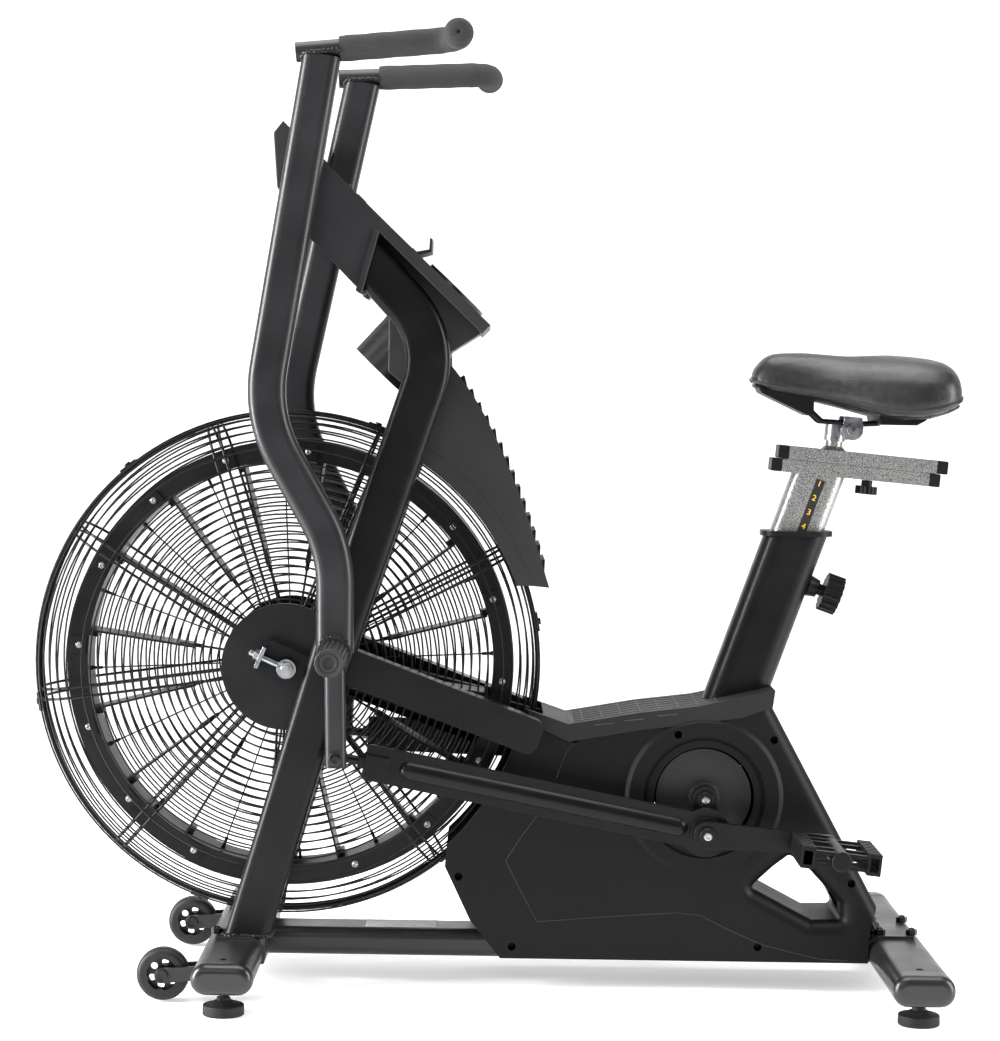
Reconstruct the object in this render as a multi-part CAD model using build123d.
from build123d import *
import math
import os

# Air bike. Millimetres. +X points to the rear (saddle end), +Y to the rider's right, +Z up.
# The origin is on the floor, under the centre of the bounding box.

# ---------------------------------------------------------------- driving dimensions
STABILISER_WIDTH = 80
STABILISER_HEIGHT = 40
STABILISER_BOTTOM = 32
STABILISER_CORNER = 19
STABILISER_TUBE_HALF = 266
FRONT_STABILISER_X = -343
FRONT_STABILISER_HALF = 290
REAR_STABILISER_X = 560
REAR_STABILISER_HALF = 300
SADDLE_PLATE = 4
TUBE_WALL = 2.5

FOOT_INSET = 40
FOOT_RADIUS = 27
FOOT_PAD_HEIGHT = 14
FOOT_STUD_RADIUS = 5

MAIN_TUBE_Y = 102
MAIN_TUBE_WIDTH = 60
MAIN_TUBE_THICK = 40
MAIN_TUBE_PATH = [(-348, 0), (-200, 508), (-78, 880), (-232, 1045)]
MAIN_TUBE_BEND = 112

CAGE_X = -282
CAGE_Z = 436
CAGE_FACE_Y = 70
CAGE_RIM_RADIUS = 344
CAGE_RIM_Y = 9
CAGE_HUB_RADIUS = 86
RIB_WIRE = 1.9
RING_WIRE = 1.25
RIB_COUNT = 9
RIB_SPACING = 14
RIB_START = 28
RING_PITCH = 11.5

FAN_X = -277
FAN_Z = 437
FAN_RIM_RADIUS = 306
FAN_RIM_DEPTH = 28
FAN_HALF_WIDTH = 34
FAN_BLADES = 16
BLADE_START = 14.2
FAN_BLADE_INNER = 138
BLADE_THICK = 3
FAN_AXLE_RADIUS = 6
FAN_PULLEY_RADIUS = 12

CRANK_X = 290
CRANK_Z = 267
DRIVE_PULLEY_RADIUS = 42
BELT_Y = 56
BELT_WIDTH = 10
BELT_THICK = 3
CRANK_OFFSET = 40
CRANK_LEAN = math.degrees(math.atan2(1, 40))
PEDAL_DX = 161
PEDAL_DZ = -50
CRANK_PIN_RADIUS = 8
AXLE_RADIUS = 10
ROD_INNER_Y = 124
ROD_WIDTH = 48
PEDAL_ARM_Y = 143
PEDAL_ARM_THICK = 14
PEDAL_INNER_Y = 166
PEDAL_OUTER_Y = 288

PIVOT_X = -210
PIVOT_Z = 463
PIVOT_RADIUS = 10
HANDLE_Y = 153
HANDLE_WIDTH = 50
HANDLE_THICK = 36
HANDLE_PATH = [(-237, 1250), (-312, 776), (-211, 601), (-210, 463)]
HANDLE_BEND = 185
LEVER_WIDTH = 28
LEVER_DROP = 140
LEVER_SHIFT = 3.5
RIGHT_HANDLE_LEAN = 2.86
BAR_RADIUS = 13
BAR_SLOPE = 5.5
GRIP_RADIUS = 17
FOOT_PEG_OUTER_Y = 286

COVER_HALF = 78
COVER_WALL = 3
COVER_FRONT_RADIUS = 328
RECESS_RADIUS = 68
RECESS_RING_RADIUS = 103

SEAT_TILT = 19.5
SEAT_TUBE_WIDTH = 82
SEAT_TUBE_THICK = 60
SEAT_TUBE_TOP_Z = 621
POST_WIDTH = 70
POST_THICK = 40
RAIL_TILT = 4.9
RAIL_X = 500
RAIL_Z = 718.5
RAIL_HEIGHT = 18
RAIL_WIDTH = 40
SLIDER_FORWARD = 12
SLIDER_BACK = 40

CONSOLE_X = -10
CONSOLE_Z = 901
CONSOLE_TILT = 43.6
CONSOLE_HALF = 127
CUP_ALONG = 69.5
CUP_MOUTH_RADIUS = 49
CUP_BASE_RADIUS = 42
CUP_DEPTH = 150
CUP_RIM = 6
CRADLE_HALF = 54

WHEEL_X = -430
WHEEL_Z = 37
WHEEL_RADIUS = 35
WHEEL_Y = 178
WHEEL_WIDTH = 24

nodes = {}


# ---------------------------------------------------------------- helpers
def plate(sketch, y_low, y_high):
    """A sketch drawn in X and Z, thickened from y_low to y_high."""
    return extrude(Plane.XZ.offset(-y_high) * sketch, amount=y_high - y_low)


def outline(points, corner=0):
    """A closed polygon face, with all of its corners rounded alike."""
    face = make_face(Polyline(*points, close=True))
    if corner:
        face = fillet(face.vertices(), corner)
    return face


def disc(x, z, radius, y_low, y_high):
    """A round plate or a shaft that lies along Y."""
    return plate(Pos(x, z) * Circle(radius), y_low, y_high)


def ring(x, z, outer, inner, y_low, y_high):
    """A round plate along Y with a round hole."""
    return plate(Pos(x, z) * (Circle(outer) - Circle(inner)), y_low, y_high)


def box(x_low, x_high, y_low, y_high, z_low, z_high):
    """A block given by its limits."""
    centre = ((x_low + x_high) / 2, (y_low + y_high) / 2, (z_low + z_high) / 2)
    return Pos(*centre) * Box(x_high - x_low, y_high - y_low, z_high - z_low)


def bent_bar(points, bend, y, width, thick, corner):
    """A rounded rectangular bar that follows a bent line in a plane of constant Y."""
    line = FilletPolyline(*points, radius=bend) if len(points) > 2 else Line(*points)
    path = Plane.XZ.offset(-y) * line
    start = Plane(origin=path @ 0, x_dir=(0, 1, 0), z_dir=path % 0)
    return sweep(start * RectangleRounded(thick, width, corner), path=path)


def bent_tube(points, bend, y, width, thick, corner, wall):
    """The same bar as a tube with a wall of even thickness."""
    outer = bent_bar(points, bend, y, width, thick, corner)
    inner = bent_bar(points, bend, y, width - 2 * wall, thick - 2 * wall, corner - wall)
    return outer - inner


def other_side(shape):
    """The same piece on the rider's other side."""
    return mirror(shape, about=Plane.XZ)


def turned(shape, x, z, angle):
    """A piece turned about an axis along Y through (x, z)."""
    return Pos(x, 0, z) * Rot(0, angle, 0) * Pos(-x, 0, -z) * shape


def ribbed_circle(radius, ribs, depth):
    """A round knob or peg profile with grooves cut round its edge."""
    groove = 2 * math.pi * radius / ribs / 3.2
    notches = [Rot(0, 0, 360 * i / ribs) * Pos(radius, 0) * Circle(max(groove, depth)) for i in range(ribs)]
    return Circle(radius) - notches


def local_plane(x, z, angle, y=0):
    """A plane whose X runs along a slope in the XZ plane and whose Y is normal to the slope."""
    slope = math.radians(angle)
    return Plane(origin=(x, y, z), x_dir=(math.cos(slope), 0, math.sin(slope)), z_dir=(0, -1, 0))


def sloped(plane, sketch, y_low, y_high):
    """A sketch drawn on a local plane at Y = 0, thickened from y_low to y_high."""
    return extrude(plane.offset(-y_high) * sketch, amount=y_high - y_low)


# ---------------------------------------------------------------- base
def stabiliser_section(x, grow=0):
    """The rounded cross section of a stabiliser in the XZ plane, grown all round."""
    return Pos(x, STABILISER_BOTTOM + STABILISER_HEIGHT / 2) * RectangleRounded(
        STABILISER_WIDTH + 2 * grow, STABILISER_HEIGHT + 2 * grow, STABILISER_CORNER + grow)


def stabiliser(x):
    wall = stabiliser_section(x) - stabiliser_section(x, -TUBE_WALL)
    return plate(wall, -STABILISER_TUBE_HALF, STABILISER_TUBE_HALF)


def end_cap(x, half):
    cap = plate(stabiliser_section(x, 0.5), STABILISER_TUBE_HALF, half)
    outer_edges = cap.edges().filter_by_position(Axis.Y, half - 0.1, half + 0.1)
    return fillet(outer_edges, 12)


def levelling_foot(x, y):
    pad = Cylinder(FOOT_RADIUS, FOOT_PAD_HEIGHT, align=(Align.CENTER, Align.CENTER, Align.MIN))
    pad = fillet(pad.edges(), 2)
    cone = Cone(FOOT_RADIUS - 5, 11, 5, align=(Align.CENTER, Align.CENTER, Align.MIN))
    cone = Pos(0, 0, FOOT_PAD_HEIGHT) * cone
    stud_height = 42
    stud = Cylinder(FOOT_STUD_RADIUS, stud_height, align=(Align.CENTER, Align.CENTER, Align.MIN))
    stud = Pos(0, 0, FOOT_PAD_HEIGHT) * stud
    nut = Pos(0, 0, FOOT_PAD_HEIGHT + 5) * extrude(RegularPolygon(9, 6), amount=4.5)
    return Pos(x, y, 0) * (pad + cone + stud + nut)


stabiliser_top = STABILISER_BOTTOM + STABILISER_HEIGHT
saddle_top = stabiliser_top + SADDLE_PLATE
foot_places = {
    "front_left_foot": (FRONT_STABILISER_X, -(FRONT_STABILISER_HALF - FOOT_INSET)),
    "front_right_foot": (FRONT_STABILISER_X, FRONT_STABILISER_HALF - FOOT_INSET),
    "rear_left_foot": (REAR_STABILISER_X, -(REAR_STABILISER_HALF - FOOT_INSET - 10)),
    "rear_right_foot": (REAR_STABILISER_X, REAR_STABILISER_HALF - FOOT_INSET - 10),
}
for name, (foot_x, foot_y) in foot_places.items():
    nodes[name] = levelling_foot(foot_x, foot_y)


def foot_holes():
    """Clearance bores for the four levelling studs."""
    hole = Cylinder(FOOT_STUD_RADIUS + 0.5, 60, align=(Align.CENTER, Align.CENTER, Align.MIN))
    return [Pos(x, y, FOOT_PAD_HEIGHT) * hole for x, y in foot_places.values()]




def saddle_strap(x, inner_side, y_low, y_high):
    """A plate that lies on a stabiliser and wraps round its inner side; inner_side is 1 when that is +X."""
    strap = plate(stabiliser_section(x, SADDLE_PLATE) - stabiliser_section(x), y_low, y_high)
    bottom = box(x - 60, x + 60, y_low, y_high, 0, STABILISER_BOTTOM + 8)
    far = box(x - 60, x - 24, y_low, y_high, 0, 100)
    if inner_side < 0:
        far = box(x + 24, x + 60, y_low, y_high, 0, 100)
    return strap - bottom - far


front_plate = saddle_strap(FRONT_STABILISER_X, 1, MAIN_TUBE_Y - 26, MAIN_TUBE_Y + 26)
front_plates = [front_plate, other_side(front_plate)]
rear_plate = saddle_strap(REAR_STABILISER_X, -1, -58, 58)
nodes["front_stabiliser"] = [stabiliser(FRONT_STABILISER_X) - foot_holes()] + front_plates
nodes["rear_stabiliser"] = [stabiliser(REAR_STABILISER_X) - foot_holes(), rear_plate]
front_cap = end_cap(FRONT_STABILISER_X, FRONT_STABILISER_HALF)
rear_cap = end_cap(REAR_STABILISER_X, REAR_STABILISER_HALF)
nodes["stabiliser_end_caps"] = [front_cap, other_side(front_cap), rear_cap, other_side(rear_cap)]

BEAM_HEIGHT = 38
BEAM_WIDTH = 80
BEAM_CORNER = 14
beam_front = FRONT_STABILISER_X + STABILISER_WIDTH / 2
beam_rear = REAR_STABILISER_X - STABILISER_WIDTH / 2
beam = Pos(0, 0, STABILISER_BOTTOM + STABILISER_HEIGHT / 2 + 1) * Rot(0, 90, 0) * (
    RectangleRounded(BEAM_HEIGHT, BEAM_WIDTH, BEAM_CORNER)
    - RectangleRounded(BEAM_HEIGHT - 2 * TUBE_WALL, BEAM_WIDTH - 2 * TUBE_WALL, BEAM_CORNER - TUBE_WALL))
beam = extrude(Pos(beam_front - 10, 0, 0) * beam, amount=beam_rear - beam_front + 20)
stabiliser_room = [plate(stabiliser_section(x), -60, 60) for x in (FRONT_STABILISER_X, REAR_STABILISER_X)]
beam = beam - stabiliser_room - rear_plate
nodes["base_beam"] = max(beam.solids(), key=lambda solid: solid.volume)


# ---------------------------------------------------------------- side tubes and stays
def main_tube():
    tube = bent_tube(MAIN_TUBE_PATH, MAIN_TUBE_BEND, -MAIN_TUBE_Y, MAIN_TUBE_WIDTH, MAIN_TUBE_THICK, 12,
                     TUBE_WALL)
    return tube - box(-500, 0, -300, 0, -50, saddle_top) - disc(PIVOT_X, PIVOT_Z, 13, -130, -70)


main_bar = bent_bar(MAIN_TUBE_PATH, MAIN_TUBE_BEND, -MAIN_TUBE_Y, MAIN_TUBE_WIDTH, MAIN_TUBE_THICK, 12)
nodes["left_main_tube"] = main_tube()
nodes["right_main_tube"] = other_side(nodes["left_main_tube"])

STAY_FRONT = (-216, 450)
STAY_REAR = (44, 354)
stay_angle = math.degrees(math.atan2(STAY_REAR[1] - STAY_FRONT[1], STAY_REAR[0] - STAY_FRONT[0]))
stay_length = math.dist(STAY_FRONT, STAY_REAR) + 22
stay_plane = local_plane(*STAY_FRONT, stay_angle)
stay_face = Pos(stay_length / 2, 0) * RectangleRounded(stay_length, 48, 13)
stay_bore = Pos(stay_length / 2, 0) * RectangleRounded(stay_length - 2 * TUBE_WALL, 48 - 2 * TUBE_WALL, 10.5)
stay = sloped(stay_plane, stay_face, -120, -84)
stay = stay - sloped(stay_plane, stay_bore, -120 + TUBE_WALL, -84 - TUBE_WALL)
stay = stay - main_bar
stay = max(stay.solids(), key=lambda solid: solid.volume)
nodes["frame_stays"] = [stay, other_side(stay)]

POST_X = 108
POST_TOP_Z = 360
CROSS_X = 104
CROSS_Z = 332
post = box(POST_X - 30, POST_X + 30, -30, 30, saddle_top - SADDLE_PLATE, POST_TOP_Z)
post = post - box(POST_X - 27, POST_X + 27, -27, 27, 60, POST_TOP_Z - 3)
cross = disc(CROSS_X, CROSS_Z, 17, -66, 66) - disc(CROSS_X, CROSS_Z, 14, -66, 66)
side_arm_face = outline([(32, 338), (44, 370), (126, 360), (126, 318)], 8)
side_arm = plate(side_arm_face, -71, -66)
boss = disc(STAY_REAR[0], STAY_REAR[1], 11, -84, -71)
post = post - disc(CROSS_X, CROSS_Z, 17, -66, 66)
brace = disc(-101, 806, 16, -82, 82) - disc(-101, 806, 13.5, -82, 82)
nodes["frame_braces"] = [post, cross, side_arm, other_side(side_arm), boss, other_side(boss), brace]


# ---------------------------------------------------------------- seat tube, bottom bracket and strut
def seat_point(z):
    """X of the seat tube's centre line at height z."""
    return CRANK_X + (z - CRANK_Z) * math.tan(math.radians(SEAT_TILT))


seat_along = (math.sin(math.radians(SEAT_TILT)), 0, math.cos(math.radians(SEAT_TILT)))
seat_rearward = (math.cos(math.radians(SEAT_TILT)), 0, -math.sin(math.radians(SEAT_TILT)))
seat_plane = Plane(origin=(CRANK_X, 0, CRANK_Z), x_dir=seat_rearward, z_dir=seat_along)
seat_section = RectangleRounded(SEAT_TUBE_WIDTH, SEAT_TUBE_THICK, 24)
seat_bore = RectangleRounded(SEAT_TUBE_WIDTH - 6, SEAT_TUBE_THICK - 6, 21)
seat_bar = extrude(seat_plane.offset(-260) * seat_section, amount=700)
seat_cavity = extrude(seat_plane.offset(-260) * seat_bore, amount=700)
KNOB_Z = 566
knob_plane = Plane(origin=(seat_point(KNOB_Z), 0, KNOB_Z), x_dir=(0, 1, 0), z_dir=seat_rearward)
PIN_RADIUS = 6
shell_outer = disc(CRANK_X, CRANK_Z, 26, -46, 46)
seat_tube = seat_bar - seat_cavity - box(0, 700, -100, 100, SEAT_TUBE_TOP_Z, 1200)
seat_tube = seat_tube - box(0, 700, -100, 100, -200, stabiliser_top)
seat_tube = seat_tube - shell_outer - extrude(knob_plane * Circle(8.5), amount=60)
nodes["seat_tube"] = seat_tube

bearing_seat = disc(CRANK_X, CRANK_Z, 21, -46, 46)
bearing = ring(CRANK_X, CRANK_Z, 21, AXLE_RADIUS + 0.05, -45, -33)
nodes["crank_housing"] = [shell_outer - bearing_seat, bearing, other_side(bearing)]

strut_path = [(350, 392), (527, 62)]
strut = bent_tube(strut_path, 0, 0, 40, 60, 8, TUBE_WALL)
strut = strut - seat_bar - box(300, 700, -100, 100, -50, saddle_top)
nodes["rear_strut"] = strut

COLLAR_FLANGE = 7
post_clearance = 0.3
post_section = RectangleRounded(POST_WIDTH + 2 * post_clearance, POST_THICK + 2 * post_clearance, 16)
post_hole = extrude(seat_plane * post_section, amount=500)
collar_x = seat_point(SEAT_TUBE_TOP_Z)
flange = box(collar_x - 48, collar_x + 50, -34, 34, SEAT_TUBE_TOP_Z, SEAT_TUBE_TOP_Z + COLLAR_FLANGE)
flange = fillet(flange.edges().filter_by(Axis.Z), 24)
sleeve = seat_cavity & box(0, 700, -100, 100, SEAT_TUBE_TOP_Z - 40, SEAT_TUBE_TOP_Z)
nodes["seat_collar"] = flange + sleeve - post_hole


# ---------------------------------------------------------------- fan cage
def cage_ring(radius, lateral, wire):
    """One ring of thin wire, drawn six-sided because the cage has so many of them."""
    section = Plane.XY * Pos(radius, 0) * RegularPolygon(wire, 6)
    return Pos(CAGE_X, -lateral, CAGE_Z) * revolve(section, Axis.Y)


def rib(angle, shift):
    """One radial wire: straight over the face, then a quarter bend down to the rim."""
    section = Plane(origin=(CAGE_X, 0, CAGE_Z), x_dir=(1, 0, 0), z_dir=(0, 0, 1))
    bend = CAGE_FACE_Y - CAGE_RIM_Y
    reach = CAGE_RIM_RADIUS - bend
    straight = Line((CAGE_HUB_RADIUS - 8, -CAGE_FACE_Y), (reach, -CAGE_FACE_Y))
    curve = RadiusArc((reach, -CAGE_FACE_Y), (CAGE_RIM_RADIUS, -CAGE_RIM_Y), -bend)
    path = section * (straight + curve)
    start = Plane(origin=path @ 0, z_dir=path % 0)
    wire = sweep(start * Circle(RIB_WIRE), path=path)
    return Pos(CAGE_X, 0, CAGE_Z) * Rot(0, -angle, 0) * Pos(-CAGE_X, 0, -CAGE_Z) * (Pos(0, 0, shift) * wire)


def grille_wires():
    """Ribs underneath, and rings that lie on them with their surfaces touching."""
    pieces = []
    for index in range(RIB_COUNT):
        for shift in (-RIB_SPACING / 2, RIB_SPACING / 2):
            pieces.append(rib(360 / RIB_COUNT * index + RIB_START, shift))
    gap = RIB_WIRE + RING_WIRE * math.cos(math.radians(30))
    bend = CAGE_FACE_Y - CAGE_RIM_Y
    reach = CAGE_RIM_RADIUS - bend
    face_rings = int((reach - CAGE_HUB_RADIUS - 6) / RING_PITCH) + 1
    for index in range(face_rings):
        pieces.append(cage_ring(CAGE_HUB_RADIUS + 6 + index * RING_PITCH, CAGE_FACE_Y + gap, RING_WIRE))
    flank_rings = 7
    for index in range(1, flank_rings + 1):
        turn = math.radians(90 - 90 * index / (flank_rings + 0.5))
        radius = reach + (bend + gap) * math.cos(turn)
        lateral = CAGE_RIM_Y + (bend + gap) * math.sin(turn)
        pieces.append(cage_ring(radius, lateral, RING_WIRE))
    pieces.append(cage_ring(CAGE_RIM_RADIUS, CAGE_RIM_Y - RIB_WIRE - 3, 3))
    return pieces


hub_disc_outer = CAGE_FACE_Y + RIB_WIRE + 2 * RING_WIRE + 2.4
hub_disc = disc(CAGE_X, CAGE_Z, CAGE_HUB_RADIUS, -hub_disc_outer, -(CAGE_FACE_Y + RIB_WIRE))
hub_disc = hub_disc - disc(FAN_X, FAN_Z, 8, -100, 0)
left_wires = grille_wires()
nodes["left_grille"] = left_wires + [hub_disc]


# ---------------------------------------------------------------- belt, its guard and the pulleys
def belt_face(front_radius, rear_radius):
    """The outline of a belt round two pulleys: two circles and the band between them."""
    dx = CRANK_X - FAN_X
    dz = CRANK_Z - FAN_Z
    length = math.hypot(dx, dz)
    base = math.atan2(dz, dx)
    spread = math.acos((front_radius - rear_radius) / length)
    corners = []
    for sign in (1, -1):
        angle = base + sign * spread
        front = (FAN_X + front_radius * math.cos(angle), FAN_Z + front_radius * math.sin(angle))
        rear = (CRANK_X + rear_radius * math.cos(angle), CRANK_Z + rear_radius * math.sin(angle))
        corners += [front, rear] if sign == 1 else [rear, front]
    band = make_face(Polyline(*corners, close=True))
    return band + Pos(FAN_X, FAN_Z) * Circle(front_radius) + Pos(CRANK_X, CRANK_Z) * Circle(rear_radius)


belt_gap = 0.3
belt_inner = belt_face(FAN_PULLEY_RADIUS + belt_gap, DRIVE_PULLEY_RADIUS + belt_gap)
belt_outer = belt_face(FAN_PULLEY_RADIUS + belt_gap + BELT_THICK, DRIVE_PULLEY_RADIUS + belt_gap + BELT_THICK)
nodes["drive_belt"] = plate(belt_outer - belt_inner, BELT_Y - BELT_WIDTH / 2, BELT_Y + BELT_WIDTH / 2)

guard_limit = disc(CAGE_X, CAGE_Z, 293, 40, 70) - box(-600, FAN_X, 0, 100, 0, 900)
guard_face = belt_face(FAN_PULLEY_RADIUS + 13, DRIVE_PULLEY_RADIUS + 13)
guard_inner = belt_face(FAN_PULLEY_RADIUS + 11, DRIVE_PULLEY_RADIUS + 11)
guard = plate(guard_face, BELT_Y - 10, 66) - plate(guard_inner, BELT_Y - 10, 64)
guard = max((guard & guard_limit).solids(), key=lambda solid: solid.volume)
nodes["belt_guard"] = guard - disc(FAN_X, FAN_Z, 48, 40, 70)

pulley_rim = ring(CRANK_X, CRANK_Z, DRIVE_PULLEY_RADIUS, DRIVE_PULLEY_RADIUS - 8, BELT_Y - 7, BELT_Y + 7)
pulley_web = ring(CRANK_X, CRANK_Z, DRIVE_PULLEY_RADIUS - 8, AXLE_RADIUS, BELT_Y - 3, BELT_Y + 3)
pulley_hub = ring(CRANK_X, CRANK_Z, 18, AXLE_RADIUS, BELT_Y - 8, BELT_Y + 7)
nodes["drive_pulley"] = pulley_rim + pulley_web + pulley_hub

belt_path = plate(belt_face(FAN_PULLEY_RADIUS + 12, DRIVE_PULLEY_RADIUS + 12), BELT_Y - 12, BELT_Y + 11)
belt_path = belt_path & box(10, 400, 0, 100, 0, 600)
right_wires = []
for wire in left_wires:
    turned_wire = other_side(wire)
    if turned_wire.bounding_box().max.X > 10:
        turned_wire = turned_wire - belt_path
    right_wires += turned_wire.solids()
nodes["right_grille"] = right_wires + [other_side(hub_disc)]


# ---------------------------------------------------------------- fan wheel
fan_rim = ring(FAN_X, FAN_Z, FAN_RIM_RADIUS, FAN_RIM_RADIUS - 3, -FAN_HALF_WIDTH, FAN_HALF_WIDTH)
rim_side = ring(FAN_X, FAN_Z, FAN_RIM_RADIUS - 3, FAN_RIM_RADIUS - FAN_RIM_DEPTH,
                -FAN_HALF_WIDTH, -FAN_HALF_WIDTH + 2)
inner_hoop = ring(FAN_X, FAN_Z, FAN_RIM_RADIUS - FAN_RIM_DEPTH + 3, FAN_RIM_RADIUS - FAN_RIM_DEPTH,
                  -FAN_HALF_WIDTH + 2, FAN_HALF_WIDTH - 2)
rim_clips = []
for index in range(FAN_BLADES):
    clip_angle = 360 / FAN_BLADES * index + BLADE_START + 4.2
    clip_plate = Pos(FAN_RIM_RADIUS - 15, -FAN_HALF_WIDTH - 1, 0) * Box(20, 2, 24)
    rim_clips.append(Pos(FAN_X, 0, FAN_Z) * Rot(0, -clip_angle, 0) * clip_plate)
rim_clips += [other_side(clip_plate) for clip_plate in rim_clips]
nodes["fan_rim"] = [fan_rim + rim_side + other_side(rim_side) + inner_hoop] + rim_clips

rim_inner = FAN_RIM_RADIUS - FAN_RIM_DEPTH
blade_length = rim_inner - 1 - FAN_BLADE_INNER
SPOKE_RADIUS = 1
HUB_FLANGE = 44
blade = Box(blade_length, 2 * FAN_HALF_WIDTH - 12, BLADE_THICK)
blade = Pos(FAN_BLADE_INNER + blade_length / 2, 0, 0) * blade
blade = blade + Pos(FAN_BLADE_INNER + 9, 0, 0) * Box(20, 30, BLADE_THICK + 3)
tab = Pos(rim_inner - 5, 0, 5) * Box(8, 30, 8)
blades = []
spokes = []
for index in range(FAN_BLADES):
    angle = 360 / FAN_BLADES * index + BLADE_START
    place = Pos(FAN_X, 0, FAN_Z) * Rot(0, -angle, 0)
    blades.append(place * (blade + tab))
    half_step = Pos(FAN_X, 0, FAN_Z) * Rot(0, -angle - 180 / FAN_BLADES, 0)
    outer_spoke = Pos(HUB_FLANGE, 0, 0) * Rot(0, 90, 0) * Cylinder(
        SPOKE_RADIUS, rim_inner - 0.2 - HUB_FLANGE, align=(Align.CENTER, Align.CENTER, Align.MIN))
    inner_spoke = Pos(HUB_FLANGE, 0, 0) * Rot(0, 90, 0) * Cylinder(
        SPOKE_RADIUS + 0.6, FAN_BLADE_INNER - HUB_FLANGE, align=(Align.CENTER, Align.CENTER, Align.MIN))
    spokes.append(half_step * outer_spoke)
    spokes.append(place * inner_spoke)
nodes["fan_blades"] = blades + spokes

hub_body = ring(FAN_X, FAN_Z, 30, 13.5, -36, 44)
hub_flange = ring(FAN_X, FAN_Z, HUB_FLANGE, 30, -6, 6)
fan_pulley = ring(FAN_X, FAN_Z, FAN_PULLEY_RADIUS, FAN_AXLE_RADIUS + 0.5, 44, 62)
fan_bearing = ring(FAN_X, FAN_Z, 13.5, FAN_AXLE_RADIUS + 0.05, -35, -25)
far_bearing = ring(FAN_X, FAN_Z, 13.5, FAN_AXLE_RADIUS + 0.05, 33, 43)
nodes["fan_hub"] = [hub_body + hub_flange + fan_pulley, fan_bearing, far_bearing]

# ---------------------------------------------------------------- fan axle, brackets and belt tensioners
BRACKET_TILT = 156
BRACKET_INNER = 100
bracket_plane = local_plane(FAN_X, FAN_Z, BRACKET_TILT)
bracket_face = Pos(-16, 0) * RectangleRounded(112, 52, 11)
bracket_face = bracket_face - Circle(FAN_AXLE_RADIUS + 0.5)
bracket = sloped(bracket_plane, bracket_face, -BRACKET_INNER - 4, -BRACKET_INNER)
lug = sloped(bracket_plane, Pos(38, 0) * Rectangle(5, 30), -BRACKET_INNER - 24, -BRACKET_INNER - 4)
lug = lug - extrude(Plane(origin=bracket_plane.from_local_coords((30, 0, BRACKET_INNER + 13)),
                          z_dir=bracket_plane.x_dir) * Circle(4), amount=20)
bracket = bracket - main_bar
bracket = max(bracket.solids(), key=lambda solid: solid.volume)
nodes["axle_brackets"] = [bracket, other_side(bracket)]

axle = disc(FAN_X, FAN_Z, FAN_AXLE_RADIUS, -126, 126)
axle_nut = plate(Pos(FAN_X, FAN_Z) * (RegularPolygon(10, 6) - Circle(FAN_AXLE_RADIUS)), -124, -118.2)
axle_washer = ring(FAN_X, FAN_Z, 12, FAN_AXLE_RADIUS, -107, -104.05)
nodes["fan_axle"] = [axle, axle_nut, other_side(axle_nut), axle_washer, other_side(axle_washer)]

eye_ring = ring(FAN_X, FAN_Z, 13, FAN_AXLE_RADIUS + 0.2, -118, -108)
eye_rod = extrude(Plane(origin=bracket_plane.from_local_coords((12, 0, BRACKET_INNER + 13)),
                        z_dir=bracket_plane.x_dir) * Circle(4), amount=42)
eye_nut = extrude(Plane(origin=bracket_plane.from_local_coords((40.2, 0, BRACKET_INNER + 13)),
                        z_dir=bracket_plane.x_dir) * (RegularPolygon(8, 6) - Circle(4)), amount=7)
eye = eye_ring + (eye_rod - disc(FAN_X, FAN_Z, 12, -130, -90))
tension = [eye, eye_nut, lug]
nodes["tension_bolts"] = tension + [other_side(piece) for piece in tension]

# ---------------------------------------------------------------- covers
TOP_FRONT = (46, 384)
TOP_VALLEY = (104, 364)
TOP_REAR = (384, 414)
cover_points = [TOP_FRONT, TOP_VALLEY, (200, 381), (280, 391), TOP_REAR, (381, 391), (479, 212),
                (530, 118), (520, 90), (518, 42), (16, 42), (2, 60), (-26, 94), (-61, 167), (-58, 199)]
cover_face = make_face(Polyline(*cover_points, close=True)) - Pos(CAGE_X, CAGE_Z) * Circle(COVER_FRONT_RADIUS)
window = outline([(357, 142), (388, 171), (409, 187), (430, 175), (480, 122), (481, 99), (441, 98)], 5)
cover_face = cover_face - window
TREAD_DROP = 24
tread_points = [TOP_FRONT, TOP_VALLEY, (200, 381), (280, 391), TOP_REAR, (381, 391), (340, 376),
                (200, 381 - TREAD_DROP), (104, 364 - TREAD_DROP), (62, 360)]
tread_face = make_face(Polyline(*tread_points, close=True))
cover_face = cover_face - tread_face
cage_room = disc(CAGE_X, CAGE_Z, 357, -71, 71)


def softened(face, half, y_high, radius):
    """A thickened cover outline whose rear edge and window are rounded over on the outer side."""
    solid = plate(face, -half, y_high)
    chosen = []
    for edge in solid.edges().filter_by_position(Axis.Y, -half - 0.1, -half + 0.1):
        middle = edge.center()
        if edge.length > 60 and middle.X > 400 and middle.Z > 110 and middle.X > middle.Z:
            chosen.append(edge)
    return fillet(chosen, radius)


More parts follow.
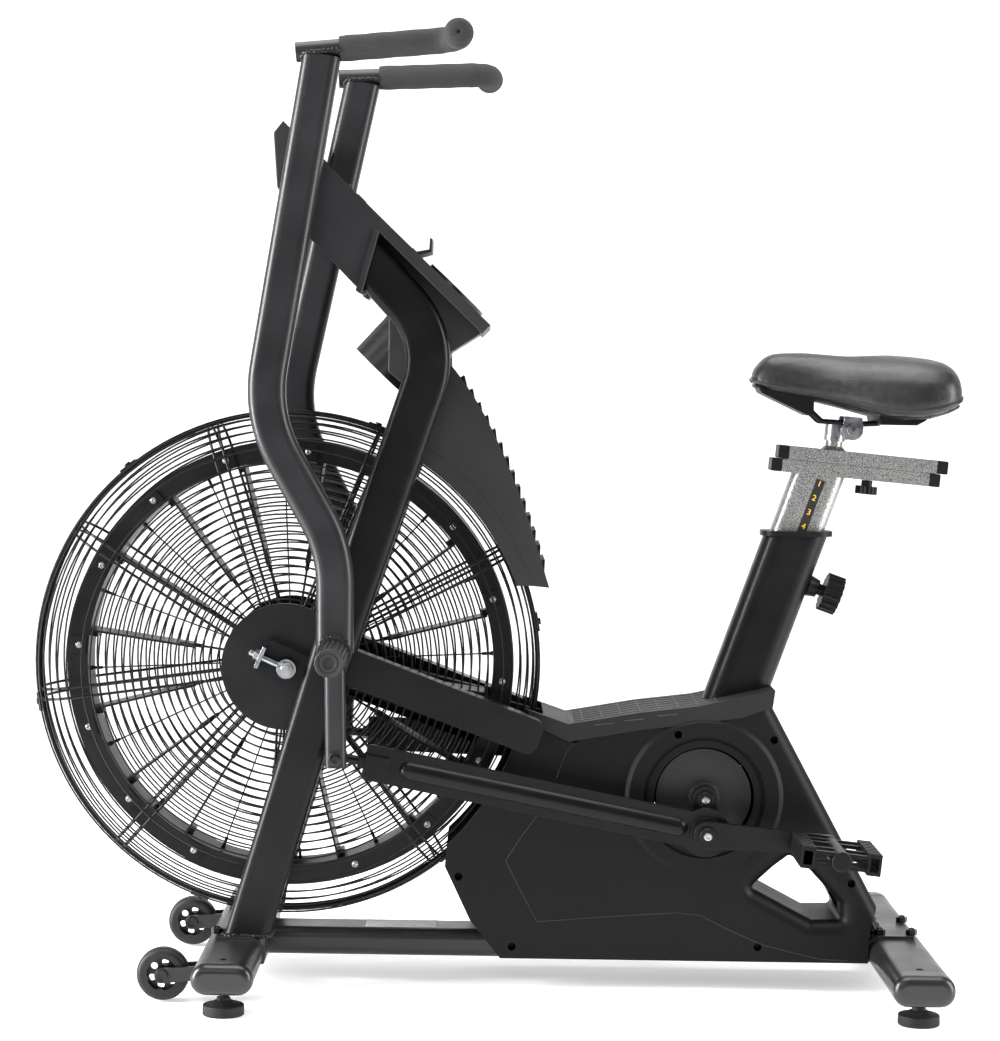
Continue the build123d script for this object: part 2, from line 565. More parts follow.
def cover():
    """The left shell: a side wall with a rim round it, a raised ring and a round crank opening."""
    solid = softened(cover_face, COVER_HALF, -0.2, 20)
    inside = softened(offset(cover_face, -COVER_WALL), COVER_HALF - COVER_WALL, 1, 17)
    shell = solid - inside - cage_room
    flank = extrude(Plane.XZ.offset(COVER_HALF - 1) * Pos(CRANK_X, CRANK_Z) * Circle(RECESS_RING_RADIUS + 6),
                    amount=6, taper=50)
    flank = flank - disc(CRANK_X, CRANK_Z, 83, -100, 0)
    shell = shell + flank
    shell = shell + ring(CRANK_X, CRANK_Z, 78, RECESS_RADIUS, -COVER_HALF - 2, -COVER_HALF)
    shell = shell - disc(CRANK_X, CRANK_Z, RECESS_RADIUS, -100, -COVER_HALF + 20)
    for x, z in ((113, 344), (253, 352), (-42, 153), (384, 346), (493, 151), (32, 58), (367, 62)):
        shell = shell - disc(x, z, 5.5, -100, -50)
    shell = shell - disc(STAY_REAR[0], STAY_REAR[1], 11.5, -100, -60)
    return shell


frame_room = [seat_bar, box(-400, 700, -40.5, 40.5, 0, stabiliser_top + 0.5),
              box(POST_X - 30.5, POST_X + 30.5, -31, 31, 0, POST_TOP_Z + 1),
              bent_bar(strut_path, 0, 0, 41, 61, 8), box(519, 700, -300, 300, 0, saddle_top),
              box(500, 700, -58.5, 58.5, 0, saddle_top), plate(offset(side_arm_face, 1), -72, 72)]
left_cover = cover()
for room in frame_room:
    left_cover = left_cover - room
left_cover = max(left_cover.solids(), key=lambda solid: solid.volume)
tread = plate(tread_face, -COVER_HALF - 2, COVER_HALF + 2)
left_cover = left_cover - tread
nodes["left_cover"] = left_cover
belt_room = plate(belt_face(FAN_PULLEY_RADIUS + 9, DRIVE_PULLEY_RADIUS + 9), BELT_Y - 9, BELT_Y + 9)
nodes["right_cover"] = other_side(left_cover) - belt_room
tread_skin = make_face(Polyline((40, 390), (104, 368), (390, 420), (384, 410), (280, 387.5), (200, 377.5),
                                (104, 360.5), (46, 380.5), close=True))
tread_inside = plate(tread_face - tread_skin, -COVER_HALF + 0.5, COVER_HALF - 0.5)
tread = tread - tread_inside - cage_room - seat_bar - frame_room[-1]
tread = max(tread.solids(), key=lambda solid: solid.volume)
nodes["tread_cover"] = tread

# ---------------------------------------------------------------- console
console = local_plane(CONSOLE_X, CONSOLE_Z, 180 - CONSOLE_TILT)


def console_piece(sketch, y_low, y_high):
    """Console sketches run from the rear corner up to the front (X) and downwards (Y)."""
    return sloped(console, sketch, y_low, y_high)


housing_face = outline([(385, 0), (0, 0), (0, 16), (196, 16), (156, 89), (255, 86), (330, 68), (383, 20)])
housing = console_piece(housing_face, -CONSOLE_HALF, CONSOLE_HALF)
hollow_face = outline([(378, 3), (204, 3), (204, 16), (200, 80), (254, 82), (328, 64), (378, 20)])
housing = housing - console_piece(hollow_face, -76, 76)
tray_hollow = console_piece(Pos(98, 12) * Rectangle(184, 18), -CONSOLE_HALF + 4, CONSOLE_HALF - 4)
housing = housing - tray_hollow
cup_axis = Plane(origin=console.from_local_coords((CUP_ALONG, 0, 0)), z_dir=-console.y_dir)
housing = housing - extrude(cup_axis.offset(-20) * Circle(CUP_MOUTH_RADIUS - 2.5), amount=40)
tube_room = bent_bar(MAIN_TUBE_PATH, MAIN_TUBE_BEND, -MAIN_TUBE_Y, MAIN_TUBE_WIDTH, MAIN_TUBE_THICK, 12)
housing = housing - tube_room - other_side(tube_room)
rim_face = outline([(200, 17), (160, 93), (151, 91), (192, 15)], 1.5)
sleeve_rim = console_piece(rim_face, -CONSOLE_HALF - 3, -73) - tube_room
housing = housing + sleeve_rim + other_side(sleeve_rim)
display_pocket = console_piece(Pos(318, 1) * Rectangle(100, 4), -70, 70)
housing = housing - display_pocket
nodes["console_housing"] = max(housing.solids(), key=lambda solid: solid.volume)
display = console_piece(Pos(318, 0) * Rectangle(99, 6), -69.5, 69.5)
nodes["console_display"] = display

hook_face = make_face(Polyline((150, 0), (138, 0), (128, -17), (140, -30), (143, -28), (133, -16.5),
                               (143, -2.5), (150, -2.5), close=True))
hook = console_piece(hook_face, -45, 45)
nodes["phone_clip"] = hook

CUP_NECK = CUP_MOUTH_RADIUS - 2.6
CUP_WALL = 3
cup_body = loft([cup_axis * Circle(CUP_NECK), cup_axis.offset(-CUP_DEPTH) * Circle(CUP_BASE_RADIUS)])
cup_rim = extrude(cup_axis * Circle(CUP_MOUTH_RADIUS), amount=CUP_RIM)
cup_room = loft([cup_axis.offset(6) * Circle(CUP_NECK - CUP_WALL),
                 cup_axis.offset(CUP_WALL - CUP_DEPTH) * Circle(CUP_BASE_RADIUS - CUP_WALL)])
nodes["bottle_cup"] = cup_body + cup_rim - cup_room

# ---------------------------------------------------------------- fan shroud
shroud_outer = [(-63, 848), (-42, 821), (5, 739), (42, 649), (75, 549)]
shroud_inner_radius = 333
SHROUD_HALF = 81.5
SHROUD_WALL = 2.5


def shroud_face(inset):
    """Side view of the shroud, with its curved back drawn in by inset."""
    back = Spline(*[(x - inset, z - inset / 2) for x, z in shroud_outer])
    front = Polyline(back @ 1, (53 - inset, 551), (20, 551), (-110, 640), (-110, 800), back @ 0)
    return make_face(back + front) - Pos(CAGE_X, CAGE_Z) * Circle(shroud_inner_radius)


shroud = plate(shroud_face(0), -SHROUD_HALF, SHROUD_HALF)
shroud = shroud - plate(shroud_face(SHROUD_WALL), -SHROUD_HALF + SHROUD_WALL, SHROUD_HALF - SHROUD_WALL)
shroud = shroud - cage_room - disc(-101, 806, 16.5, -100, 100)
LOUVRES = 11
for index in range(LOUVRES):
    share = 0.1 + 0.8 * index / (LOUVRES - 1)
    back_line = Spline(*shroud_outer)
    place = back_line @ share
    shroud = shroud - box(place.X - 14, place.X + 14, -60, 60, place.Y - 3, place.Y + 3)
nodes["wind_shroud"] = max(shroud.solids(), key=lambda solid: solid.volume)

# The cradle under the tray, round the bottle cup.
cradle_face = make_face(Polyline((202, 1.5), (200, 16), (162, 84), (130, 66), (95, 100), (56, 141), (17.5, 138),
                                 (-11, 125), (13.5, 61), (3, 18), (7, 1.5), close=True))
cradle = console_piece(cradle_face, -CRADLE_HALF, CRADLE_HALF)
cradle = cradle - console_piece(offset(cradle_face, -3), -CRADLE_HALF + 3, CRADLE_HALF - 3)
cup_base = cup_axis.offset(-CUP_DEPTH) * Circle(CUP_BASE_RADIUS + 0.4)
cup_outside = loft([cup_axis.offset(2) * Circle(CUP_NECK + 0.4), cup_base])
cradle = cradle - cup_outside - extrude(cup_base, amount=-30)
cradle = cradle - plate(shroud_face(-1), -90, 90) - disc(-101, 806, 17, -90, 90)
housing = nodes["console_housing"] + cradle - tube_room - other_side(tube_room)
nodes["console_housing"] = max(housing.solids(), key=lambda solid: solid.volume)

# ---------------------------------------------------------------- pivots, pegs and handles
pivot = disc(PIVOT_X, PIVOT_Z, PIVOT_RADIUS, -178, -122) + disc(PIVOT_X, PIVOT_Z, 13, -122, -83)
pivot = pivot + disc(PIVOT_X, PIVOT_Z, 12.5, -280, -178)
peg_screw = disc(PIVOT_X, PIVOT_Z, 8, -284, -280)
pivot_washer = ring(PIVOT_X, PIVOT_Z, 19, PIVOT_RADIUS, -130, -122)
nodes["pivot_axles"] = [pivot, peg_screw, pivot_washer]
nodes["pivot_axles"] += [other_side(piece) for piece in nodes["pivot_axles"]]

peg = plate(Pos(PIVOT_X, PIVOT_Z) * (ribbed_circle(19.6, 18, 1.2) - Circle(12.5)), -FOOT_PEG_OUTER_Y, -182)
nodes["foot_pegs"] = [peg, other_side(peg)]

bar_start = (-271, 1253.3)
bar_tilt = math.radians(BAR_SLOPE)
BAR_LENGTH = 215
BAR_BEND = 34
BAR_OUT = 62
bar_plane = Plane(origin=(bar_start[0], -HANDLE_Y, bar_start[1]),
                  x_dir=(math.cos(bar_tilt), 0, math.sin(bar_tilt)),
                  z_dir=(math.sin(bar_tilt), 0, -math.cos(bar_tilt)))


def bar_sweep(first, outer, inner, last):
    """The handlebar's bent line, from a distance along it, as a round bar or a sleeve."""
    path = bar_plane * FilletPolyline((first, 0), (BAR_LENGTH, 0), (BAR_LENGTH, last), radius=BAR_BEND)
    start = Plane(origin=path @ 0, z_dir=path % 0)
    solid = sweep(start * Circle(outer), path=path)
    if inner:
        solid = solid - sweep(start * Circle(inner), path=path)
    return solid


handle_bar = bar_sweep(0, BAR_RADIUS, 0, BAR_OUT)
handle_tube = bar_sweep(0, BAR_RADIUS, BAR_RADIUS - 2, BAR_OUT)
hub = disc(PIVOT_X, PIVOT_Z, 23, -174, -131)
arm = bent_tube(HANDLE_PATH, HANDLE_BEND, -HANDLE_Y, HANDLE_WIDTH, HANDLE_THICK, 13, TUBE_WALL)
arm_top = Plane(origin=(HANDLE_PATH[0][0], -HANDLE_Y, HANDLE_PATH[0][1]), x_dir=(0, 1, 0),
                z_dir=(HANDLE_PATH[1][0] - HANDLE_PATH[0][0], 0, HANDLE_PATH[1][1] - HANDLE_PATH[0][1]))
arm = arm + extrude(arm_top * RectangleRounded(HANDLE_THICK, HANDLE_WIDTH, 13), amount=4)
arm = arm - hub - handle_bar
arm = max(arm.solids(), key=lambda solid: solid.volume)
hub = hub - disc(PIVOT_X, PIVOT_Z, PIVOT_RADIUS + 0.05, -200, -100)
lever_end_x = PIVOT_X + LEVER_SHIFT
lever_end_z = PIVOT_Z - LEVER_DROP
lever = bent_bar([(PIVOT_X, PIVOT_Z), (lever_end_x, lever_end_z - 12)], 0, -HANDLE_Y - 1, LEVER_WIDTH, 25, 8)
lever = lever - disc(PIVOT_X, PIVOT_Z, 23, -180, -120) - disc(lever_end_x, lever_end_z, 6, -180, -100)
lever_bolt = disc(lever_end_x, lever_end_z, 6, -166.5, -142)
lever_bolt = lever_bolt + disc(lever_end_x, lever_end_z, 9.5, -172, -166.5)
left_handle = [arm, handle_tube, hub, lever, lever_bolt]
grip = bar_sweep(58, GRIP_RADIUS, BAR_RADIUS, BAR_OUT - 8)
grip_end = bar_plane * Pos(BAR_LENGTH, BAR_OUT + 3, 0) * Rot(90, 0, 0) * Cylinder(19.5, 22)
grip_end = fillet(grip_end.edges(), 8) - handle_bar
nodes["left_handle"] = left_handle
nodes["left_grip"] = [grip, grip_end]


def right_arm_piece(piece):
    """The mirror image of a piece of the left arm, leaned back round the pivot."""
    return turned(other_side(piece), PIVOT_X, PIVOT_Z, RIGHT_HANDLE_LEAN)


nodes["right_handle"] = [right_arm_piece(piece) for piece in left_handle]
nodes["right_grip"] = [right_arm_piece(piece) for piece in nodes["left_grip"]]

# ---------------------------------------------------------------- cranks, link rods and pedals
lean = math.radians(CRANK_LEAN)
pin_x = CRANK_X - CRANK_OFFSET * math.sin(lean)
pin_z = CRANK_Z - CRANK_OFFSET * math.cos(lean)
pedal_x = CRANK_X + PEDAL_DX
pedal_z = CRANK_Z + PEDAL_DZ
rod_length = math.dist((pin_x, pin_z), (lever_end_x, lever_end_z))


def hull_of_two(first, first_radius, second, second_radius):
    """Two circles with the band between them, for a crank or an arm."""
    direction = math.atan2(second[1] - first[1], second[0] - first[0])
    normal = (-math.sin(direction), math.cos(direction))
    corners = [(first[0] + first_radius * normal[0], first[1] + first_radius * normal[1]),
               (second[0] + second_radius * normal[0], second[1] + second_radius * normal[1]),
               (second[0] - second_radius * normal[0], second[1] - second_radius * normal[1]),
               (first[0] - first_radius * normal[0], first[1] - first_radius * normal[1])]
    band = make_face(Polyline(*corners, close=True))
    return band + Pos(*first) * Circle(first_radius) + Pos(*second) * Circle(second_radius)


inner_crank = plate(hull_of_two((CRANK_X, CRANK_Z), 17, (pin_x, pin_z), 17), -102, -84)
inner_crank = inner_crank - disc(CRANK_X, CRANK_Z, AXLE_RADIUS, -110, -80)
crank_pin = disc(pin_x, pin_z, CRANK_PIN_RADIUS, -158, -102)
arm_face = hull_of_two((pin_x, pin_z), 18, (pedal_x, pedal_z), 12)
pedal_arm = plate(arm_face, -PEDAL_ARM_Y - PEDAL_ARM_THICK, -PEDAL_ARM_Y)
pedal_arm = pedal_arm - disc(pin_x, pin_z, CRANK_PIN_RADIUS, -200, -100)
pedal_arm = pedal_arm - disc(pedal_x, pedal_z, 7, -200, -100)
pin_bolt = disc(pin_x, pin_z, 11, -163, -158)
spindle = disc(pedal_x, pedal_z, 7, -284, -PEDAL_ARM_Y) + disc(pedal_x, pedal_z, 10, -163, -157)
crank_pieces = [inner_crank + crank_pin, pedal_arm, pin_bolt, spindle]
nodes["left_crank"] = crank_pieces
nodes["right_crank"] = [turned(other_side(piece), CRANK_X, CRANK_Z, 180) for piece in crank_pieces]

crank_axle = disc(CRANK_X, CRANK_Z, AXLE_RADIUS, -102, 102)
axle_cap = disc(CRANK_X, CRANK_Z, 11, -108, -102)
nodes["crank_axle"] = [crank_axle, axle_cap, other_side(axle_cap)]
crank_disc = ring(CRANK_X, CRANK_Z, RECESS_RADIUS - 3, AXLE_RADIUS, -69, -66)
crank_disc = crank_disc + ring(CRANK_X, CRANK_Z, 20, AXLE_RADIUS, -84, -69)
nodes["crank_discs"] = [crank_disc, other_side(crank_disc)]


def link_rod():
    """The left rod, drawn along +X from its crank eye at the origin of its own plane."""

    def rod_piece(face, outer, inner=0):
        """A face of the rod's side view, from one distance outside its inner side to another."""
        return sloped(rod_plane, face, -ROD_INNER_Y - outer, -ROD_INNER_Y - inner)

    def along_rod(start, outward):
        """A plane across the rod, a distance along it and outside its inner side."""
        origin = rod_plane.from_local_coords((start, 0, ROD_INNER_Y + outward))
        return Plane(origin=origin, z_dir=rod_plane.x_dir)

    web = Pos(rod_length / 2 - 20, 0) * RectangleRounded(rod_length - 34, ROD_WIDTH, 5)
    rod_plate = rod_piece(Circle(33) + web, 8)
    ridge_bar = extrude(along_rod(38, 2) * Circle(14), amount=rod_length - 136)
    ridge_bar = ridge_bar + along_rod(38, 2) * Sphere(14) + along_rod(rod_length - 98, 2) * Sphere(14)
    keep = rod_piece(Pos(rod_length / 2, 0) * Rectangle(rod_length + 80, 90), 20)
    body = rod_plate + rod_piece(Circle(21), 16) + (ridge_bar & keep)
    body = body - sloped(rod_plane, Circle(17), -200, -100)
    bearing = rod_piece(Circle(17) - Circle(CRANK_PIN_RADIUS + 0.05), 16)
    block = rod_piece(Pos(rod_length - 54, 0) * Rectangle(32, 21), 14.5, 8)
    end_ring = rod_piece(Pos(rod_length, 0) * (Circle(14) - Circle(7)), 15, 2)
    shank = along_rod(rod_length - 38, 8.2)
    shank_bar = extrude(shank * Circle(6), amount=30) - end_ring - block - rod_plate
    hex_nut = extrude(shank.offset(1) * (RegularPolygon(9.5, 6) - Circle(6)), amount=8) - rod_plate - block
    return [body, bearing, block, end_ring, shank_bar, hex_nut]


rod_plane = local_plane(pin_x, pin_z, math.degrees(math.atan2(lever_end_z - pin_z, lever_end_x - pin_x)))
nodes["left_link_rod"] = link_rod()
far_pin_x = 2 * CRANK_X - pin_x
far_pin_z = 2 * CRANK_Z - pin_z
far_lean = math.radians(RIGHT_HANDLE_LEAN)
far_end_x = PIVOT_X + LEVER_SHIFT * math.cos(far_lean) - LEVER_DROP * math.sin(far_lean)
far_end_z = PIVOT_Z - LEVER_SHIFT * math.sin(far_lean) - LEVER_DROP * math.cos(far_lean)
far_angle = math.degrees(math.atan2(far_end_z - far_pin_z, far_end_x - far_pin_x))
rod_plane = local_plane(far_pin_x, far_pin_z, far_angle)
nodes["right_link_rod"] = [other_side(piece) for piece in link_rod()]


def pedal():
    """A cage pedal: barrel, two toothed box frames at the ends, long rails between them and an end cap."""
    inner, outer = -PEDAL_INNER_Y - 4, -282
    pieces = ring(pedal_x, pedal_z, 12, 7.06, outer, -PEDAL_INNER_Y)
    cap = disc(pedal_x, pedal_z, 13, -PEDAL_OUTER_Y, -284.5) + ring(pedal_x, pedal_z, 13, 9, -284.5, -276)
    cap_edges = cap.edges().filter_by_position(Axis.Y, -PEDAL_OUTER_Y - 0.1, -PEDAL_OUTER_Y + 0.1)
    pieces = pieces + fillet(cap_edges, 2.5)
    for middle in (pedal_x - 43, pedal_x + 43):
        end = box(middle - 9, middle + 9, outer, inner, pedal_z - 14, pedal_z + 14)
        end = end - box(middle - 6, middle + 6, outer - 1, inner + 1, pedal_z - 9, pedal_z + 9)
        for tooth in range(9):
            place = inner - 8 - tooth * 12.4
            for height in (pedal_z - 14, pedal_z + 14):
                end = end - box(middle - 10, middle + 10, place - 3, place + 3, height - 3, height + 3)
        pieces = pieces + end
    for place in (-173, -202, -246, -277):
        for height in (-8, 8):
            pieces = pieces + box(pedal_x - 36, pedal_x + 36, place - 3.5, place + 3.5,
                                  pedal_z + height - 2.5, pedal_z + height + 2.5)
    pieces = pieces - disc(pedal_x, pedal_z, 7.06, -283, -100) - disc(pedal_x, pedal_z, 9, -284.5, -282)
    return turned(pieces, pedal_x, pedal_z, 6)


nodes["left_pedal"] = pedal()
far_pedal = other_side(nodes["left_pedal"])
nodes["right_pedal"] = Pos(-2 * PEDAL_DX, 0, -2 * PEDAL_DZ) * far_pedal

# ---------------------------------------------------------------- seat post, rails and saddle
rail_plane = local_plane(RAIL_X, RAIL_Z, -RAIL_TILT)
RAIL_FRONT = -121
RAIL_REAR = 112
SLIDER_FRONT = -113
SLIDER_REAR = 121
RAIL_CAP = 15
KNOB_ALONG = 15


def rail_tube(front, rear, centre):
    """One rail without its end caps, as a tube."""
    length = rear - front - 2 * RAIL_CAP
    place = Pos((front + rear) / 2, centre)
    profile = place * RectangleRounded(length, RAIL_HEIGHT, 2)
    outer = sloped(rail_plane, profile, -RAIL_WIDTH / 2, RAIL_WIDTH / 2)
    room = place * Rectangle(length + 2, RAIL_HEIGHT - 2 * TUBE_WALL)
    return outer - sloped(rail_plane, room, -RAIL_WIDTH / 2 + TUBE_WALL, RAIL_WIDTH / 2 - TUBE_WALL)


def rail_caps(front, rear, centre):
    """The two black plugs that close a rail."""
    pieces = []
    for along, side in ((front, 1), (rear, -1)):
        face = Pos(along + side * RAIL_CAP / 2, centre) * RectangleRounded(RAIL_CAP, RAIL_HEIGHT, 2)
        pieces.append(sloped(rail_plane, face, -RAIL_WIDTH / 2 - 1, RAIL_WIDTH / 2 + 1))
    return pieces


slot_centre = KNOB_ALONG + (SLIDER_BACK - SLIDER_FORWARD) / 2
slot_face = Pos(slot_centre, -RAIL_HEIGHT / 2) * Rectangle(SLIDER_FORWARD + SLIDER_BACK + 36, RAIL_HEIGHT + 2)
lower_rail = rail_tube(RAIL_FRONT, RAIL_REAR, -RAIL_HEIGHT / 2) - sloped(rail_plane, slot_face, -6, 6)

POST_FOOT_Z = 395
post_solid = extrude(seat_plane * RectangleRounded(POST_WIDTH, POST_THICK, 15.5), amount=600)
post_solid = post_solid - box(0, 700, -100, 100, -100, POST_FOOT_Z)
above_rail = sloped(rail_plane, Pos(0, 200 - RAIL_HEIGHT) * Rectangle(900, 400), -100, 100)
post_bore = extrude(seat_plane * RectangleRounded(POST_WIDTH - 5, POST_THICK - 5, 13), amount=600)
pin_holes = []
HOLE_PITCH = 20.5
for index in range(-6, 4):
    hole_centre = knob_plane.origin + seat_plane.z_dir * (HOLE_PITCH * index)
    hole_plane = Plane(origin=hole_centre, z_dir=knob_plane.z_dir)
    pin_holes.append(extrude(hole_plane * Circle(PIN_RADIUS + 0.6), amount=45))
seat_post = post_solid - above_rail - post_bore
for hole in pin_holes:
    seat_post = seat_post - hole
seat_post = max(seat_post.solids(), key=lambda solid: solid.volume)
nodes["seat_post"] = [seat_post, lower_rail] + rail_caps(RAIL_FRONT, RAIL_REAR, -RAIL_HEIGHT / 2)

pin_boss = extrude(knob_plane.offset(SEAT_TUBE_WIDTH / 2) * (Circle(15) - Circle(8.5)), amount=14, taper=12)
pin = extrude(knob_plane.offset(POST_WIDTH / 2 - 6) * Circle(PIN_RADIUS), amount=42)
knob_head = extrude(knob_plane.offset(SEAT_TUBE_WIDTH / 2 + 22) * ribbed_circle(27, 16, 1.6), amount=24)
knob_neck = extrude(knob_plane.offset(SEAT_TUBE_WIDTH / 2 + 1) * Circle(8), amount=21)
nodes["height_knob"] = [pin + knob_head + knob_neck]
nodes["seat_collar"] = [nodes["seat_collar"], pin_boss]

RAIL_GAP = 0.4
SLIDER_CENTRE = RAIL_HEIGHT / 2 + RAIL_GAP
STEM_ALONG = -36
stem_base = rail_plane.from_local_coords((STEM_ALONG, RAIL_HEIGHT + RAIL_GAP, 0))
stem = extrude(Plane(origin=stem_base, z_dir=rail_plane.y_dir) * Circle(11.5), amount=30)
stem_cone = extrude(Plane(origin=stem_base, z_dir=rail_plane.y_dir) * Circle(17), amount=5, taper=40)
tongue = sloped(rail_plane, Pos(KNOB_ALONG, -0.6) * Rectangle(34, 3), -5.5, 5.5)
screw_plane = Plane(origin=rail_plane.from_local_coords((KNOB_ALONG, -5, 0)), z_dir=rail_plane.y_dir)
slider_tube = rail_tube(SLIDER_FRONT, SLIDER_REAR, SLIDER_CENTRE) + tongue + stem + stem_cone
slider_tube = slider_tube - extrude(screw_plane * Circle(4.06), amount=15)
nodes["seat_slider"] = [slider_tube] + rail_caps(SLIDER_FRONT, SLIDER_REAR, SLIDER_CENTRE)

knob_origin = rail_plane.from_local_coords((KNOB_ALONG, -RAIL_HEIGHT - 0.6, 0))
knob_base = Plane(origin=knob_origin, z_dir=-rail_plane.y_dir)
star = Circle(11) + [Rot(0, 0, 60 * i) * Pos(11, 0) * Circle(4.2) for i in range(6)]
star_knob = extrude(knob_base.offset(8) * star, amount=11) + extrude(knob_base * Circle(7.5), amount=8)
star_screw = extrude(knob_base * Circle(4), amount=-(RAIL_HEIGHT + 8))
nodes["fore_aft_knob"] = star_knob + star_screw

CLAMP_X = 488
CLAMP_Z = 768.5
stem_axis = Plane(origin=stem_base, z_dir=rail_plane.y_dir)
clamp_sleeve = extrude(stem_axis.offset(13) * (Circle(14.5) - Circle(11.5)), amount=26)
clamp_core = disc(CLAMP_X, CLAMP_Z, 11, -17, 17) + box(472, 488, -9, 9, 759, 773)
clamp_core = clamp_core - extrude(stem_axis * Circle(14.5), amount=60) - disc(CLAMP_X, CLAMP_Z, 4.05, -40, 40)
nodes["saddle_clamp"] = [clamp_sleeve, clamp_core]

EAR_INNER = 25.2
SADDLE_RAIL_Y = 21.5
SADDLE_RAIL_RADIUS = 3.5
ear_face = outline([(474, 770), (503, 768), (501, 785), (477, 787)], 2) + Pos(CLAMP_X, CLAMP_Z) * Circle(14.5)
ear = plate(ear_face - Pos(CLAMP_X, CLAMP_Z) * Circle(4), -EAR_INNER - 4, -EAR_INNER)
ear_nut = ring(CLAMP_X, CLAMP_Z, 7.5, 4, -EAR_INNER - 9, -EAR_INNER - 4)
clamp_bolt = disc(CLAMP_X, CLAMP_Z, 4, -EAR_INNER - 10, EAR_INNER + 10)
nodes["clamp_plates"] = [ear, ear_nut, other_side(ear), other_side(ear_nut), clamp_bolt]

# Each station of the saddle: X, half width, height of the top, height of the lower edge.
SADDLE_STATIONS = [(349.5, 16, 842, 834), (354, 27, 852, 829), (373, 38, 870, 821), (402, 45, 872, 816),
                   (440, 55, 869, 810), (480, 72, 866.5, 801), (515, 90, 868, 792), (550, 102, 869, 787),
                   (585, 107, 867.5, 789), (612, 101, 862.5, 797), (627, 86, 849, 804), (631.6, 66, 834, 812)]


def saddle_section(station):
    """A closed cross section: a flat underside and a padded top that bulges at the sides."""
    x, half, top, low = station
    height = top - low
    upper = [(half * 0.93, low), (half, low + height * 0.32), (half * 0.86, low + height * 0.74),
             (half * 0.5, top - height * 0.06), (0, top), (-half * 0.5, top - height * 0.06),
             (-half * 0.86, low + height * 0.74), (-half, low + height * 0.32), (-half * 0.93, low)]
    return Plane(origin=(x, 0, 0), x_dir=(0, 1, 0), z_dir=(1, 0, 0)) * make_face(
        Spline(*upper) + Line(upper[-1], upper[0]))


nodes["saddle_cushion"] = loft([saddle_section(station) for station in SADDLE_STATIONS])


def shell_section(station, depth, width):
    """The plastic shell under the cushion, at one station."""
    x, half, top, low = station
    reach = half * width
    corners = [(-reach, low), (reach, low), (reach * 0.8, low - depth), (-reach * 0.8, low - depth)]
    across = Plane(origin=(x, 0, 0), x_dir=(0, 1, 0), z_dir=(1, 0, 0))
    return across * make_face(Polyline(*corners, close=True))


saddle_shell = loft([shell_section(station, 4, 0.88) for station in SADDLE_STATIONS[1:-1]], ruled=True)
nose_block = plate(outline([(356, 828), (434, 812), (434, 787), (426, 787), (362, 817)], 2), -32, 32)
rear_block = plate(outline([(517, 796), (606, 804), (582, 782), (571, 776), (522, 776)], 2), -60, 60)
rail_line = FilletPolyline((424, 800), (446, 779.5), (506, 776.5), (524, 777.5), (536, 785), radius=8)
saddle_rail = Plane.XZ.offset(SADDLE_RAIL_Y) * rail_line
rail_start = Plane(origin=saddle_rail @ 0, z_dir=saddle_rail % 0)
saddle_rail = sweep(rail_start * Circle(SADDLE_RAIL_RADIUS), path=saddle_rail)
body = saddle_shell + nose_block + rear_block - nodes["saddle_cushion"]
body = max(body.solids(), key=lambda solid: solid.volume)
nodes["saddle_base"] = [body - saddle_rail - other_side(saddle_rail), saddle_rail, other_side(saddle_rail)]

# ---------------------------------------------------------------- transport wheels
BRACKET_PLATE = 4
wheel_face = Pos(WHEEL_X, WHEEL_Z) * Circle(10) + make_face(Polyline(
    (WHEEL_X, WHEEL_Z + 10), (-372, WHEEL_Z + 14), (-372, WHEEL_Z - 4), (WHEEL_X, WHEEL_Z - 10), close=True))
stabiliser_bar = plate(stabiliser_section(FRONT_STABILISER_X), -250, 250)
wheel_bracket = []
for inner in (WHEEL_Y - 18, WHEEL_Y + 14):
    bracket_arm = plate(wheel_face, inner, inner + BRACKET_PLATE)
    wheel_bracket.append(bracket_arm - stabiliser_bar)
wheel_bolt = disc(WHEEL_X, WHEEL_Z, 5, WHEEL_Y - 20, WHEEL_Y + 20)
wheel_bracket = [max((arm - disc(WHEEL_X, WHEEL_Z, 5, 100, 250)).solids(), key=lambda solid: solid.volume)
                 for arm in wheel_bracket]
bolt_heads = [ring(WHEEL_X, WHEEL_Z, 8.5, 5, WHEEL_Y - 22, WHEEL_Y - 18),
              ring(WHEEL_X, WHEEL_Z, 8.5, 5, WHEEL_Y + 18, WHEEL_Y + 22)]
nodes["front_stabiliser"] += wheel_bracket + [other_side(arm) for arm in wheel_bracket]
tyre = ring(WHEEL_X, WHEEL_Z, WHEEL_RADIUS, 21, WHEEL_Y - WHEEL_WIDTH / 2, WHEEL_Y + WHEEL_WIDTH / 2)
tyre = fillet(tyre.edges().filter_by(GeomType.CIRCLE).group_by(SortBy.RADIUS)[-1], 8)
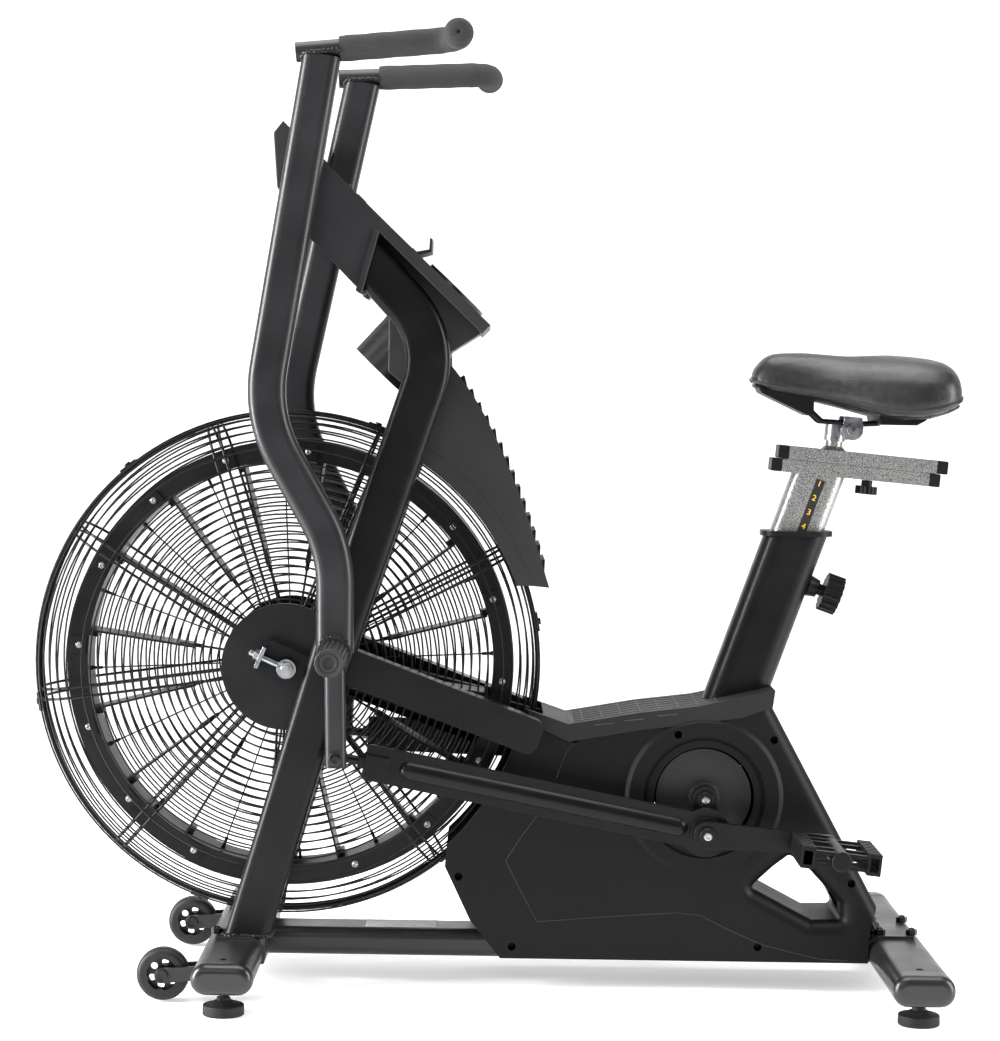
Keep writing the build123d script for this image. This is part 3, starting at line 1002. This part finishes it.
web = ring(WHEEL_X, WHEEL_Z, 22, 5.06, WHEEL_Y - 2, WHEEL_Y + 2)
for index in range(6):
    hole_turn = math.radians(60 * index + 20)
    hole_x = WHEEL_X + 15.5 * math.cos(hole_turn)
    hole_z = WHEEL_Z + 15.5 * math.sin(hole_turn)
    web = web - disc(hole_x, hole_z, 4.6, 100, 250)
wheel_hub = ring(WHEEL_X, WHEEL_Z, 9, 5.06, WHEEL_Y - 13, WHEEL_Y + 13)
tyre = tyre + web + wheel_hub
nodes["left_wheel"] = other_side(tyre)
nodes["right_wheel"] = tyre

# ---------------------------------------------------------------- fasteners
fasteners = [wheel_bolt] + bolt_heads
for x in (FRONT_STABILISER_X - 24, FRONT_STABILISER_X + 34):
    cap_nut = Pos(x, MAIN_TUBE_Y, saddle_top) * extrude(RegularPolygon(8, 6), amount=7)
    fasteners += [cap_nut + Pos(x, MAIN_TUBE_Y, saddle_top + 7) * Sphere(6, arc_size1=0)]
for x in (REAR_STABILISER_X - 22, REAR_STABILISER_X + 22):
    cap_nut = Pos(x, 44, saddle_top) * extrude(RegularPolygon(8, 6), amount=7)
    fasteners += [cap_nut + Pos(x, 44, saddle_top + 7) * Sphere(6, arc_size1=0)]
clips = []
for index in range(6):
    clip = box(CAGE_RIM_RADIUS + 3, CAGE_RIM_RADIUS + 6, -12, 12, -13, 13)
    clip = clip + Pos(CAGE_RIM_RADIUS + 6, 0, 0) * Rot(0, 90, 0) * Cylinder(4.5, 6)
    clip = clip - box(0, CAGE_RIM_RADIUS + 3, -50, 50, -50, 50)
    clips.append(Pos(CAGE_X, 0, CAGE_Z) * Rot(0, -60 * index - 10, 0) * clip)
nodes["frame_fasteners"] = fasteners + [other_side(piece) for piece in fasteners] + clips

# ---------------------------------------------------------------- export
os.makedirs("parts", exist_ok=True)
for name, pieces in nodes.items():
    pieces = pieces if isinstance(pieces, list) else [pieces]
    solids = [solid for piece in pieces for solid in piece.solids()]
    export_step(Compound(children=solids), f"parts/{name}.step")
